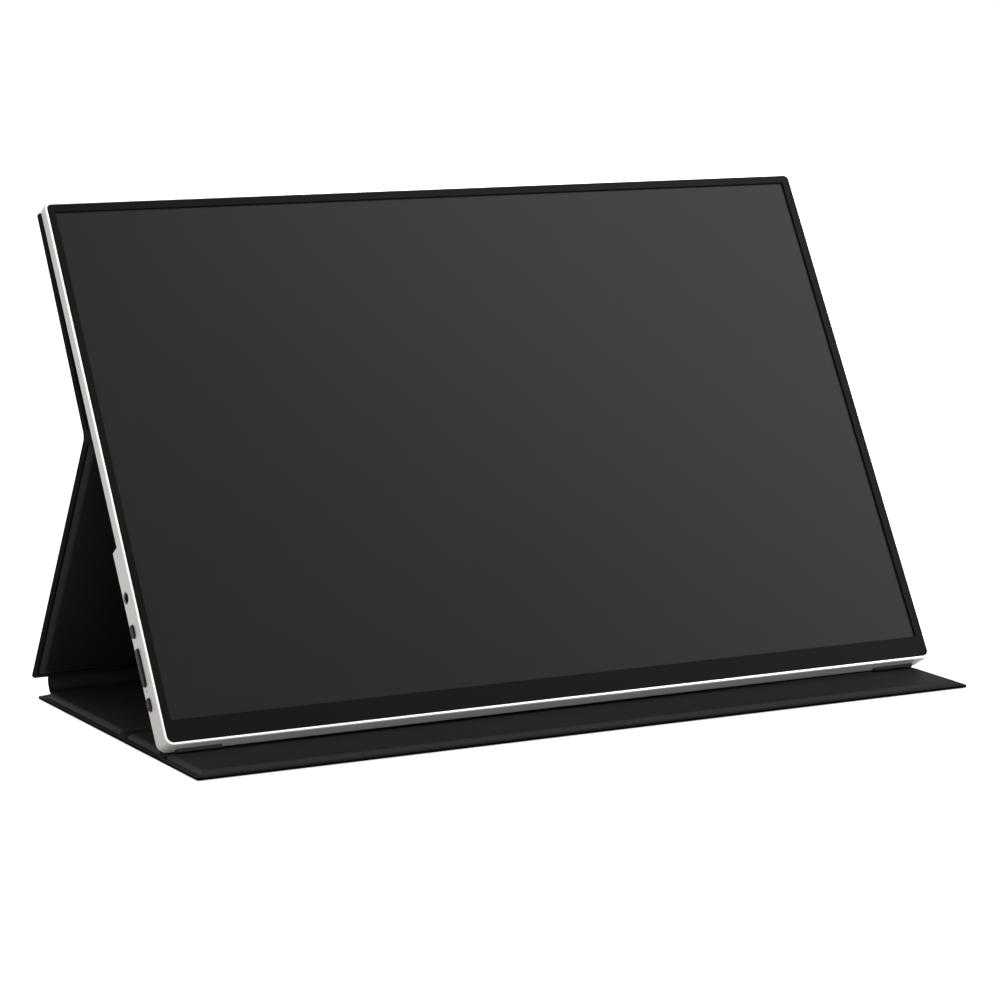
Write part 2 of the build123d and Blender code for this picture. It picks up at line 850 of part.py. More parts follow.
# ---- assembly ----
parts = {}
parts["rear_shell"] = make_rear_shell()
parts["front_bezel"] = make_front_bezel()
parts["display_glass"] = make_display_panel()
parts["light_guide"] = make_light_guide()
parts["reflector_sheet"] = make_reflector()
parts["led_bar"] = make_led_bar()
parts["display_tray"] = make_tray()
parts["driver_board"] = make_driver_board()
parts["display_cable"] = make_display_cable()
parts["main_board"] = make_main_board()
parts["board_parts"] = make_board_parts()
parts["key_board"] = make_key_board()
parts["key_switches"] = make_key_switches()
parts["board_screws"] = make_board_screws()
parts["headphone_jack"] = make_headphone_jack()
parts["status_lamp"] = make_status_lamp()
parts["usb_socket_low"] = make_usb_socket(usb_heights[0])
parts["usb_socket_high"] = make_usb_socket(usb_heights[1])
parts["mini_hdmi_socket"] = make_hdmi_socket()
parts["speaker_left"] = make_speaker(-1)
parts["speaker_right"] = make_speaker(1)
parts["speaker_seals"] = make_speaker_rims()
parts["catch_plates"] = make_catch_plates()
parts["foot_left"] = make_foot(-1)
parts["foot_right"] = make_foot(1)
parts["power_key"] = make_key(power_height)
parts["return_key"] = make_key(return_height)
parts["rocker_key"] = make_rocker()
parts["rocker_pin"] = make_rocker_pin()
for name in parts:
    parts[name] = screen_frame * parts[name]

fold = (fold_y, fold_z)
spine_top = (spine_top_y, spine_top_z)
spine_low = (spine_low_y, mid_skin)
stand = (stand_y, mid_skin)
second = (second_y, mid_skin)
spine_down = (-sin(radians(spine_lean)), -cos(radians(spine_lean)))

back_start = along(fold, back_in, -mid_skin)
back_start = along(back_start, back_up, half_groove)
back_at = place_panel(*back_start, back_in)
back_length = back_panel_length - half_groove
back_lips = (0, lip_width)
back_radii = (0, panel_corner)
magnet_y = back_length - lip_width - bevel_width - magnet_height / 2 - back_magnet_inset
back_magnets = [(x - cover_x, magnet_y) for x in back_magnet_x]
parts["back_panel_skin"] = back_at * make_skin(back_length, back_radii)
parts["back_panel_board"] = back_at * make_board(back_length, back_lips, back_magnets)
parts["back_panel_lining"] = back_at * make_lining(back_length, back_radii, back_lips)
parts["back_panel_magnets"] = back_at * make_magnets(back_magnets)

leg_end = along(fold, leg_down, leg_pitch - leg_crease_reach)
leg_start = along(leg_end, leg_in, -mid_skin)
leg_at = place_panel(*leg_start, leg_in)
leg_lips = (lip_width, 0)
leg_radii = (panel_corner, 0)
parts["leg_skin"] = leg_at * make_skin(leg_length, leg_radii)
parts["leg_board"] = leg_at * make_board(leg_length, leg_lips)
parts["leg_lining"] = leg_at * make_lining(leg_length, leg_radii, leg_lips)

base_up = (0, 1)
rear_at = place_panel(second_y + half_groove, 0, base_up)
rear_lips = (0, lip_width)
rear_radii = (0, panel_corner)
parts["rear_base_skin"] = rear_at * make_skin(rear_panel_length, rear_radii)
parts["rear_base_board"] = rear_at * make_board(rear_panel_length, rear_lips)
parts["rear_base_lining"] = rear_at * make_lining(rear_panel_length, rear_radii, rear_lips)

mid_at = place_panel(stand_y + half_groove, 0, base_up)
parts["mid_base_skin"] = mid_at * make_skin(mid_panel_length, (0, 0))
parts["mid_base_board"] = mid_at * make_board(mid_panel_length, (0, 0))
parts["mid_base_lining"] = mid_at * make_lining(mid_panel_length, (0, 0), (0, 0))

front_at = place_panel(stand_y - half_groove - front_panel_length, 0, base_up)
front_lips = (lip_width, 0)
front_radii = (panel_corner, 0)
flap_magnet_y = lip_width + bevel_width + magnet_height / 2 + flap_magnet_inset
flap_magnets = [(x - cover_x, flap_magnet_y) for x in flap_magnet_x]
parts["front_base_skin"] = front_at * make_skin(front_panel_length, front_radii)
parts["front_base_board"] = front_at * make_board(front_panel_length, front_lips, flap_magnets)
parts["front_base_lining"] = front_at * make_lining(front_panel_length, front_radii, front_lips)
parts["front_base_magnets"] = front_at * make_magnets(flap_magnets)

spine_start = along(spine_top, spine_down, spine_reach)
spine_end = along(spine_low, spine_down, -spine_reach)
spine_in = (-cos(radians(spine_lean)), sin(radians(spine_lean)))
spine_at = place_panel(*along(spine_end, spine_in, -mid_skin), spine_in)
spine_face = outline(spine_width, 0, spine_pitch - 2 * spine_reach)
parts["spine_skin"] = spine_at * slab(spine_face, 0, skin_thick)
parts["spine_lining"] = spine_at * slab(spine_face, skin_thick, lip_thick)

parts["fold_crease"] = band(
    [along(fold, back_up, half_groove - crease_play), fold,
     along(fold, leg_down, half_groove - crease_play)],
    cover_width, lip_thick, fold_round)
leg_edge = along(spine_top, leg_down, -leg_crease_reach + crease_play)
parts["leg_crease"] = band(
    [leg_edge, spine_top, along(spine_start, spine_down, -crease_play)],
    spine_width, lip_thick, crease_round)
base_edge = along(spine_low, (-1, 0), base_crease_reach - crease_play)
parts["base_crease"] = band(
    [along(spine_end, spine_down, crease_play), spine_low, base_edge],
    spine_width, lip_thick, crease_round) + flares(base_edge[0])
strip = outline(cover_width, -half_groove + crease_play, half_groove - crease_play)
parts["rear_groove"] = Pos(cover_x, second_y, 0) * slab(strip, 0, lip_thick)
parts["stand_groove"] = Pos(cover_x, stand_y, 0) * slab(strip, 0, lip_thick)

# The zero point is the middle of the footprint, on the table.
bounds = Compound(list(parts.values())).bounding_box()
shift_y = -(bounds.min.Y + bounds.max.Y) / 2
os.makedirs("parts", exist_ok=True)
for name, shape in parts.items():
    export_step(Pos(0, shift_y, 0) * shape, f"parts/{name}.step")

print("nodes", len(parts), "lowest", round(bounds.min.Z, 4))
print("size", [round(v, 2) for v in (bounds.size.X, bounds.size.Y, bounds.size.Z)])
print("screen origin", round(shift_y, 4), round(lift, 4))
print("fold", [round(v, 4) for v in (fold_y + shift_y, fold_z)])
print("spine top", [round(v, 4) for v in (spine_top_y + shift_y, spine_top_z)])
print("spine low", [round(v, 4) for v in (spine_low_y + shift_y, mid_skin)])
print("second groove", round(second_y + shift_y, 4), "stand groove", round(stand_y + shift_y, 4))
print("leg lean", round(degrees(leg_lean), 3), "rear panel", round(rear_panel_length, 2))
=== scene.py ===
import json
import math
import bmesh
import bpy
from mathutils import Matrix, Vector


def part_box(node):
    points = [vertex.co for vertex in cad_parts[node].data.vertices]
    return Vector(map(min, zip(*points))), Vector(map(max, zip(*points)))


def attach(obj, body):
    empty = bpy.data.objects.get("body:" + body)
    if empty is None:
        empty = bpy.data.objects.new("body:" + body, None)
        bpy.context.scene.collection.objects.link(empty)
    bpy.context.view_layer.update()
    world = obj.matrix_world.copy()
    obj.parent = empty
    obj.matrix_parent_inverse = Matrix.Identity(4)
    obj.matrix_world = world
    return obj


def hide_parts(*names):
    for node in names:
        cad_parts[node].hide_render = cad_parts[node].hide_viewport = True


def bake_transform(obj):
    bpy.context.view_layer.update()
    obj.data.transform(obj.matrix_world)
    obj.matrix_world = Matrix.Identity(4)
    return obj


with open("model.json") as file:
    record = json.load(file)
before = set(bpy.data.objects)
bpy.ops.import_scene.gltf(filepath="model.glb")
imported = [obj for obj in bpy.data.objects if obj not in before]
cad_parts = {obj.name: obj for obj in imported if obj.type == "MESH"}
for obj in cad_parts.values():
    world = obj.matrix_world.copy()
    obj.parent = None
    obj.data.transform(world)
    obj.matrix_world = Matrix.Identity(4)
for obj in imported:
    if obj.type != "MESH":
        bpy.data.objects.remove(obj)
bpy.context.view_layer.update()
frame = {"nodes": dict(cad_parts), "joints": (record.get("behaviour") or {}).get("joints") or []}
nodes = frame["nodes"]
print("stage: packed model loaded,", len(nodes), "nodes")

mm = 0.001                     # lengths in dictionaries are in mm unless a note says metres
sideView = {
    "screenLean": 30.54,       # degrees back from upright
    "backTilt": 1.7,           # back panel off the housing, degrees
    "spineLean": 33.5,         # degrees
    "windowRise": 10.0,        # window's lower edge above the housing's lower edge
}


def joint(name):
    for entry in frame["joints"]:
        if entry["name"] == name:
            return Vector(entry["pos_m"])
    raise ValueError(name)


def turned(degreesFromDown):
    angle = math.radians(degreesFromDown)
    return Vector((0, math.sin(angle), -math.cos(angle)))


# directions and lines of the side view, from the joints
foldAt = joint("stand_fold")
spineTop = joint("leg_crease_fold")
spineLow = joint("base_crease_fold")
rearGrooveAt = joint("rear_groove_fold")
standGrooveAt = joint("stand_groove_fold")
legDown = (spineTop - foldAt).normalized()
legIn = Vector((0, legDown.z, -legDown.y))
backUp = -turned(-(sideView["screenLean"] - sideView["backTilt"]))
backIn = Vector((0, -backUp.z, backUp.y))
spineDown = turned(-sideView["spineLean"])
baseFront = Vector((0, -1, 0))
lean = math.radians(sideView["screenLean"])
screenUp = Vector((0, math.sin(lean), math.cos(lean)))
screenOut = Vector((0, -math.cos(lean), math.sin(lean)))
shellPoints = [v.co for v in nodes["rear_shell"].data.vertices]
housingLow = min(p.dot(screenUp) for p in shellPoints)
windowFoot = screenUp * (housingLow + sideView["windowRise"] * mm)


# mesh helpers
sharpAbove = 50                # degrees between faces whose shared edge stays crisp
joinWithin = 2e-6              # metres between points that become one


def cornerLoop(halfWidth, low, high, radii, steps=6):
    corners = [(-halfWidth, low, 180, radii[0]), (halfWidth, low, 270, radii[0]),
               (halfWidth, high, 0, radii[1]), (-halfWidth, high, 90, radii[1])]
    points = []
    for x, y, startAngle, radius in corners:
        centreX = x - math.copysign(radius, x)
        centreY = y + radius if y == low else y - radius
        for i in range(steps + 1):
            angle = math.radians(startAngle + 90 * i / steps)
            points.append((centreX + radius * math.cos(angle), centreY + radius * math.sin(angle)))
    return points


def bridge(mesh, first, second, slot=0):
    count = len(first)
    for i in range(count):
        face = mesh.faces.new((first[i], first[(i + 1) % count], second[(i + 1) % count], second[i]))
        face.material_index = slot


def meshObject(name, mesh, materials, smooth=True):
    data = bpy.data.meshes.new(name)
    bmesh.ops.remove_doubles(mesh, verts=mesh.verts, dist=joinWithin)
    bmesh.ops.recalc_face_normals(mesh, faces=mesh.faces)
    mesh.to_mesh(data)
    mesh.free()
    for face in data.polygons:
        face.use_smooth = smooth
    thing = bpy.data.objects.new(name, data)
    bpy.context.scene.collection.objects.link(thing)
    for material in materials:
        data.materials.append(material)
    return thing


def sharpen(thing):
    thing.data.set_sharp_from_angle(angle=math.radians(sharpAbove))


# shader groups
def newGroup(name, inputs, outputs):
    group = bpy.data.node_groups.new(name, "ShaderNodeTree")
    for label, value in inputs.items():
        socket = group.interface.new_socket(label, in_out="INPUT", socket_type="NodeSocketFloat")
        socket.default_value = value
    for label in outputs:
        group.interface.new_socket(label, in_out="OUTPUT", socket_type="NodeSocketFloat")
    start = group.nodes.new("NodeGroupInput")
    end = group.nodes.new("NodeGroupOutput")
    return group, start, end


def addNode(tree, kind, **values):
    node = tree.nodes.new(kind)
    for label, value in values.items():
        setattr(node, label, value)
    return node


def mathNode(tree, operation, first, second):
    node = addNode(tree, "ShaderNodeMath", operation=operation)
    for index, value in enumerate((first, second)):
        if isinstance(value, (int, float)):
            node.inputs[index].default_value = value
        else:
            tree.links.new(value, node.inputs[index])
    return node.outputs[0]


def noiseNode(tree, coordinates, scale, detail):
    # scale is a number or another node's output
    node = tree.nodes.new("ShaderNodeTexNoise")
    node.inputs["Detail"].default_value = detail
    tree.links.new(coordinates, node.inputs["Vector"])
    if isinstance(scale, float):
        node.inputs["Scale"].default_value = scale
    else:
        tree.links.new(scale, node.inputs["Scale"])
    return node.outputs["Fac"]


def makeLeatherGrain():
    # pebbled cells, pores between them and slow changes of tone
    grain = {"softness": 0.6, "cellDepth": -0.8, "poreScale": 4200.0, "poreDetail": 2.0,
             "toneDetail": 4.0}
    group, start, end = newGroup("leatherGrain", {"Cell Scale": 1500.0, "Tone Scale": 14.0},
                                 ["Height", "Tone"])
    place = group.nodes.new("ShaderNodeTexCoord").outputs["Object"]
    cells = addNode(group, "ShaderNodeTexVoronoi", feature="SMOOTH_F1")
    group.links.new(place, cells.inputs["Vector"])
    group.links.new(start.outputs["Cell Scale"], cells.inputs["Scale"])
    cells.inputs["Smoothness"].default_value = grain["softness"]
    pores = noiseNode(group, place, grain["poreScale"], grain["poreDetail"])
    height = mathNode(group, "MULTIPLY", cells.outputs["Distance"], grain["cellDepth"])
    height = mathNode(group, "ADD", height, pores)
    group.links.new(height, end.inputs["Height"])
    slow = noiseNode(group, place, start.outputs["Tone Scale"], grain["toneDetail"])
    group.links.new(slow, end.inputs["Tone"])
    return group


def makeFineGrain():
    # moulded or blasted surface: fine speckle and a broad smear
    grain = {"speckleDetail": 3.0, "smearDetail": 5.0}
    group, start, end = newGroup("fineGrain", {"Speckle Scale": 3000.0, "Smear Scale": 22.0},
                                 ["Height", "Smear"])
    place = group.nodes.new("ShaderNodeTexCoord").outputs["Object"]
    speckle = noiseNode(group, place, start.outputs["Speckle Scale"], grain["speckleDetail"])
    smear = noiseNode(group, place, start.outputs["Smear Scale"], grain["smearDetail"])
    group.links.new(speckle, end.inputs["Height"])
    group.links.new(smear, end.inputs["Smear"])
    return group


def makeDust():
    # thin dust in patches that lies on what faces up
    dust = {"patchDetail": 6.0}
    group, start, end = newGroup("settledDust", {"Amount": 0.3, "Patch Scale": 60.0}, ["Mask"])
    normal = group.nodes.new("ShaderNodeNewGeometry").outputs["Normal"]
    split = group.nodes.new("ShaderNodeSeparateXYZ")
    group.links.new(normal, split.inputs[0])
    facingUp = mathNode(group, "MAXIMUM", split.outputs["Z"], 0.0)
    place = group.nodes.new("ShaderNodeTexCoord").outputs["Object"]
    patches = noiseNode(group, place, start.outputs["Patch Scale"], dust["patchDetail"])
    mask = mathNode(group, "MULTIPLY", facingUp, patches)
    mask = mathNode(group, "MULTIPLY", mask, start.outputs["Amount"])
    group.links.new(mask, end.inputs["Mask"])
    return group


def makeFacesOut():
    # 1 on faces that look out of the screen, 0 on walls, whatever the pose
    group, start, end = newGroup("facesOut", {"From": 0.5, "To": 0.8}, ["Mask"])
    normal = group.nodes.new("ShaderNodeTexCoord").outputs["Normal"]
    facing = addNode(group, "ShaderNodeVectorMath", operation="DOT_PRODUCT")
    group.links.new(normal, facing.inputs[0])
    facing.inputs[1].default_value = screenOut
    ramp = group.nodes.new("ShaderNodeMapRange")
    group.links.new(facing.outputs["Value"], ramp.inputs["Value"])
    group.links.new(start.outputs["From"], ramp.inputs["From Min"])
    group.links.new(start.outputs["To"], ramp.inputs["From Max"])
    group.links.new(ramp.outputs[0], end.inputs["Mask"])
    return group


leatherGrain = makeLeatherGrain()
fineGrain = makeFineGrain()
settledDust = makeDust()
facesOut = makeFacesOut()


# materials
def newMaterial(name, **values):
    material = bpy.data.materials.new(name)
    material.use_nodes = True
    shader = material.node_tree.nodes["Principled BSDF"]
    for label, value in values.items():
        shader.inputs[label.replace("_", " ")].default_value = value
    return material, material.node_tree, shader


def placeGroup(tree, group, **values):
    node = tree.nodes.new("ShaderNodeGroup")
    node.node_tree = group
    for label, value in values.items():
        node.inputs[label.replace("_", " ")].default_value = value
    return node


def mixColour(tree, factor, first, second):
    node = addNode(tree, "ShaderNodeMix", data_type="RGBA")
    tree.links.new(factor, node.inputs["Factor"])
    for label, value in (("A", first), ("B", second)):
        socket = [s for s in node.inputs if s.name == label and s.type == "RGBA"][0]
        if isinstance(value, tuple):
            socket.default_value = (*value, 1)
        else:
            tree.links.new(value, socket)
    return [s for s in node.outputs if s.type == "RGBA"][0]


noiseSpan = (0.3, 0.7)         # most of a noise's values lie between these


def mixRange(tree, factor, low, high):
    node = tree.nodes.new("ShaderNodeMapRange")
    tree.links.new(factor, node.inputs["Value"])
    node.inputs["From Min"].default_value = noiseSpan[0]
    node.inputs["From Max"].default_value = noiseSpan[1]
    node.inputs["To Min"].default_value = low
    node.inputs["To Max"].default_value = high
    return node.outputs[0]


def bumpFrom(tree, height, shader, distance, strength):
    bump = tree.nodes.new("ShaderNodeBump")
    bump.inputs["Distance"].default_value = distance
    bump.inputs["Strength"].default_value = strength
    tree.links.new(height, bump.inputs["Height"])
    tree.links.new(bump.outputs["Normal"], shader.inputs["Normal"])


def mixValue(tree, factor, first, second):
    # plain blend of two numbers or values
    span = mathNode(tree, "SUBTRACT", second, first)
    return mathNode(tree, "ADD", mathNode(tree, "MULTIPLY", factor, span), first)


def makeBezelFilm():
    # black film; the darker colour on the walls of its window and on its outer sides is painted shade
    look = {"face": (0.002, 0.002, 0.0021), "wall": (0.0004, 0.0004, 0.0004), "wallRough": 0.95,
            "faceFrom": 0.6, "faceTo": 0.9, "rough": (0.34, 0.38), "specular": 0.06,
            "speckleScale": 6000.0, "depth": 0.000004, "strength": 0.35}
    material, tree, shader = newMaterial("bezelFilm", Specular_IOR_Level=look["specular"])
    grain = placeGroup(tree, fineGrain, Speckle_Scale=look["speckleScale"])
    faces = placeGroup(tree, facesOut, From=look["faceFrom"], To=look["faceTo"])
    mask = faces.outputs["Mask"]
    # the mask is 0 on the walls, whose darker colour is painted shade
    tree.links.new(mixColour(tree, mask, look["wall"], look["face"]), shader.inputs["Base Color"])
    smooth = mixRange(tree, grain.outputs["Smear"], *look["rough"])
    tree.links.new(mixValue(tree, mask, look["wallRough"], smooth), shader.inputs["Roughness"])
    bumpFrom(tree, grain.outputs["Height"], shader, look["depth"], look["strength"])
    return material


def makeScreen():
    # matt panel, switched off; the near-black strip along its window's edges is painted shade where the
    # glass meets the bezel's walls
    look = {"dark": (0.0035, 0.0035, 0.0036), "light": (0.0045, 0.0045, 0.0046),
            "border": (0.0004, 0.0004, 0.0004), "borderRough": 0.9, "borderWidth": 0.3,
            "rough": (0.28, 0.3), "specular": 0.165, "speckleScale": 9000.0, "depth": 0.000003,
            "strength": 0.35, "windowWidth": 345.2, "windowHeight": 215.9}
    material, tree, shader = newMaterial("screenSurface", Specular_IOR_Level=look["specular"])
    grain = placeGroup(tree, fineGrain, Speckle_Scale=look["speckleScale"])
    place = tree.nodes.new("ShaderNodeTexCoord").outputs["Object"]
    middle = windowFoot + screenUp * look["windowHeight"] / 2 * mm
    past = []
    for along, size in ((Vector((1, 0, 0)), look["windowWidth"]), (screenUp, look["windowHeight"])):
        reach = addNode(tree, "ShaderNodeVectorMath", operation="DOT_PRODUCT")
        tree.links.new(place, reach.inputs[0])
        reach.inputs[1].default_value = along
        off = mathNode(tree, "SUBTRACT", reach.outputs["Value"], middle.dot(along))
        limit = (size / 2 - look["borderWidth"]) * mm
        past.append(mathNode(tree, "GREATER_THAN", mathNode(tree, "ABSOLUTE", off, 0.0), limit))
    # near-black strip along the window's edges: painted shade
    border = mathNode(tree, "MAXIMUM", past[0], past[1])
    panel = mixColour(tree, grain.outputs["Smear"], look["dark"], look["light"])
    tree.links.new(mixColour(tree, border, panel, look["border"]), shader.inputs["Base Color"])
    smooth = mixRange(tree, grain.outputs["Smear"], *look["rough"])
    tree.links.new(mixValue(tree, border, smooth, look["borderRough"]), shader.inputs["Roughness"])
    bumpFrom(tree, grain.outputs["Height"], shader, look["depth"], look["strength"])
    return material


def makeAnodised():
    # bead-blasted silver; the near-white polished rim round the screen is partly a machined finish and
    # partly a painted highlight
    look = {"shade": (0.42, 0.406, 0.388), "light": (0.46, 0.446, 0.428), "rim": (0.92, 0.92, 0.9),
            "metal": 0.12, "rimMetal": 0.9, "rough": (0.42, 0.5), "rimRough": 0.28,
            "rimFrom": 0.88, "rimTo": 0.985, "speckleScale": 5200.0, "depth": 0.00001,
            "strength": 0.35}
    material, tree, shader = newMaterial("anodisedAluminium")
    grain = placeGroup(tree, fineGrain, Speckle_Scale=look["speckleScale"])
    faces = placeGroup(tree, facesOut, From=look["rimFrom"], To=look["rimTo"])
    rim = faces.outputs["Mask"]
    body = mixColour(tree, grain.outputs["Smear"], look["shade"], look["light"])
    # rim colour: partly polished machined metal, partly a painted highlight
    tree.links.new(mixColour(tree, rim, body, look["rim"]), shader.inputs["Base Color"])
    tree.links.new(mixValue(tree, rim, look["metal"], look["rimMetal"]), shader.inputs["Metallic"])
    satin = mixRange(tree, grain.outputs["Smear"], *look["rough"])
    tree.links.new(mixValue(tree, rim, satin, look["rimRough"]), shader.inputs["Roughness"])
    bumpFrom(tree, grain.outputs["Height"], shader, look["depth"], look["strength"])
    return material


# colours are linear, and every material's bump depth is in metres
leatherLook = {
    "dark": (0.0082, 0.0082, 0.0084),
    "light": (0.0118, 0.0116, 0.0116),
    "dustColour": (0.05, 0.05, 0.05),
    "grainDepth": 0.00005,
    "grainStrength": 0.5,
}
leathers = {                   # tint multiplies the two colours above
    "outerLeather": {"tint": 1.0, "cellScale": 1500.0, "rough": (0.58, 0.66), "dustAmount": 0.08,
                     "specular": 0.05},
    "innerLeather": {"tint": 0.9, "cellScale": 1700.0, "rough": (0.58, 0.66), "dustAmount": 0.08,
                     "specular": 0.05},
    "pressedLeather": {"tint": 1.0, "cellScale": 1700.0, "rough": (0.54, 0.62), "dustAmount": 0.08,
                       "specular": 0.045},
    # lighter tint on the pads' bevels: painted sheen where the bevels catch light
    "paintedSheenLeather": {"tint": 1.45, "cellScale": 1700.0, "rough": (0.54, 0.66), "dustAmount": 0.08,
                      "specular": 0.075},
    # dark tint in the pressed line between lip and bevel: painted shade in the crease
    "paintedCreaseShade": {"tint": 0.35, "cellScale": 1700.0, "rough": (0.7, 0.8), "dustAmount": 0.0,
                   "specular": 0.02},
    # near-black tint on the panels' and strips' edges: painted shade where the edges face away from the
    # light
    "paintedShadeLeatherEdge": {"tint": 0.1, "cellScale": 2400.0, "rough": (0.75, 0.85), "dustAmount": 0.0,
                       "specular": 0.02},
}


def makeLeather(name, tint, cellScale, rough, dustAmount, specular):
    material, tree, shader = newMaterial(name, Specular_IOR_Level=specular)
    grain = placeGroup(tree, leatherGrain, Cell_Scale=cellScale)
    dust = placeGroup(tree, settledDust, Amount=dustAmount)
    dark = tuple(c * tint for c in leatherLook["dark"])
    light = tuple(c * tint for c in leatherLook["light"])
    base = mixColour(tree, grain.outputs["Tone"], dark, light)
    dusty = mixColour(tree, dust.outputs["Mask"], base, leatherLook["dustColour"])
    tree.links.new(dusty, shader.inputs["Base Color"])
    tree.links.new(mixRange(tree, grain.outputs["Tone"], *rough), shader.inputs["Roughness"])
    bumpFrom(tree, grain.outputs["Height"], shader, leatherLook["grainDepth"],
             leatherLook["grainStrength"])
    return material


finishes = {
    "footRubber": {"dark": (0.010, 0.010, 0.010), "light": (0.016, 0.016, 0.016),
                   "rough": (0.66, 0.8), "depth": 0.00003, "speckleScale": 2600.0,
                   "dustAmount": 0.1, "specular": 0.3},
    "keyPlastic": {"dark": (0.0062, 0.0056, 0.0052), "light": (0.0085, 0.0078, 0.0072),
                   "rough": (0.46, 0.54), "depth": 0.00001, "speckleScale": 4000.0,
                   "specular": 0.12},
    "jackPlastic": {"dark": (0.008, 0.008, 0.008), "light": (0.012, 0.012, 0.012),
                    "rough": (0.42, 0.5), "depth": 0.00001, "speckleScale": 4000.0},
    "lampLens": {"dark": (0.018, 0.018, 0.018), "light": (0.026, 0.026, 0.026),
                 "rough": (0.3, 0.36), "depth": 0.000004, "specular": 0.12},
    "socketMetal": {"dark": (0.4, 0.4, 0.41), "light": (0.5, 0.5, 0.5),
                    "rough": (0.26, 0.36), "depth": 0.000004, "metallic": 1.0},
    "plainSteel": {"dark": (0.5, 0.5, 0.5), "light": (0.58, 0.58, 0.57),
                   "rough": (0.32, 0.42), "depth": 0.000005, "metallic": 1.0},
    "contactGold": {"dark": (0.72, 0.5, 0.2), "light": (0.8, 0.58, 0.26),
                    "rough": (0.24, 0.32), "depth": 0.000003, "metallic": 1.0},
    "boardMask": {"dark": (0.01, 0.07, 0.035), "light": (0.016, 0.1, 0.05),
                  "rough": (0.32, 0.42), "depth": 0.00001},
    "chipBlack": {"dark": (0.014, 0.014, 0.014), "light": (0.02, 0.02, 0.02),
                  "rough": (0.5, 0.6), "depth": 0.00001},
    "whiteFilm": {"dark": (0.78, 0.78, 0.77), "light": (0.84, 0.84, 0.83),
                  "rough": (0.45, 0.55), "depth": 0.000005},
    "clearGuide": {"dark": (0.7, 0.73, 0.74), "light": (0.78, 0.8, 0.81),
                   "rough": (0.1, 0.16), "depth": 0.000003},
    "ribbonFilm": {"dark": (0.62, 0.58, 0.5), "light": (0.7, 0.66, 0.58),
                   "rough": (0.4, 0.5), "depth": 0.000005},
    "foamBlack": {"dark": (0.02, 0.02, 0.02), "light": (0.035, 0.035, 0.035),
                  "rough": (0.85, 0.95), "depth": 0.0001, "speckleScale": 1400.0},
    "fibreBoard": {"dark": (0.2, 0.16, 0.11), "light": (0.3, 0.24, 0.17),
                   "rough": (0.8, 0.9), "depth": 0.00005, "speckleScale": 900.0},
}
dustOnFinish = (0.12, 0.12, 0.12)
speckleStrength = 0.35


def makeGrained(name, dark, light, rough, depth, speckleScale=3000.0, dustAmount=0.0, specular=0.5,
                metallic=0.0):
    material, tree, shader = newMaterial(name, Specular_IOR_Level=specular, Metallic=metallic)
    grain = placeGroup(tree, fineGrain, Speckle_Scale=speckleScale)
    colour = mixColour(tree, grain.outputs["Smear"], dark, light)
    if dustAmount > 0:
        dust = placeGroup(tree, settledDust, Amount=dustAmount)
        colour = mixColour(tree, dust.outputs["Mask"], colour, dustOnFinish)
    tree.links.new(colour, shader.inputs["Base Color"])
    tree.links.new(mixRange(tree, grain.outputs["Smear"], *rough), shader.inputs["Roughness"])
    bumpFrom(tree, grain.outputs["Height"], shader, depth, speckleStrength)
    return material


leather = {name: makeLeather(name, **look) for name, look in leathers.items()}
finish = {name: makeGrained(name, **look) for name, look in finishes.items()}
finish["anodisedAluminium"] = makeAnodised()
finish["bezelFilm"] = makeBezelFilm()
finish["screenSurface"] = makeScreen()
cadFinishes = {                # which CAD nodes take each finish
    "anodisedAluminium": ("rear_shell",),
    "bezelFilm": ("front_bezel",),
    "screenSurface": ("display_glass",),
    "clearGuide": ("light_guide",),
    "whiteFilm": ("reflector_sheet", "led_bar"),
    "plainSteel": ("display_tray", "catch_plates", "board_screws", "rocker_pin",
                   "back_panel_magnets", "front_base_magnets"),
    "boardMask": ("driver_board", "main_board", "key_board"),
    "ribbonFilm": ("display_cable",),
    "chipBlack": ("board_parts", "key_switches", "speaker_left", "speaker_right"),
    "jackPlastic": ("headphone_jack",),
    "lampLens": ("status_lamp",),
    "socketMetal": ("usb_socket_low", "usb_socket_high", "mini_hdmi_socket"),
    "foamBlack": ("speaker_seals",),
    "footRubber": ("foot_left", "foot_right"),
    "keyPlastic": ("power_key", "return_key", "rocker_key"),
    "fibreBoard": ("back_panel_board", "leg_board", "rear_base_board", "mid_base_board",
                   "front_base_board"),
}
for finishName, names in cadFinishes.items():
    for name in names:
        nodes[name].data.materials.clear()
        nodes[name].data.materials.append(finish[finishName])
print("stage: leathers", len(leather), "and finishes", len(finish))


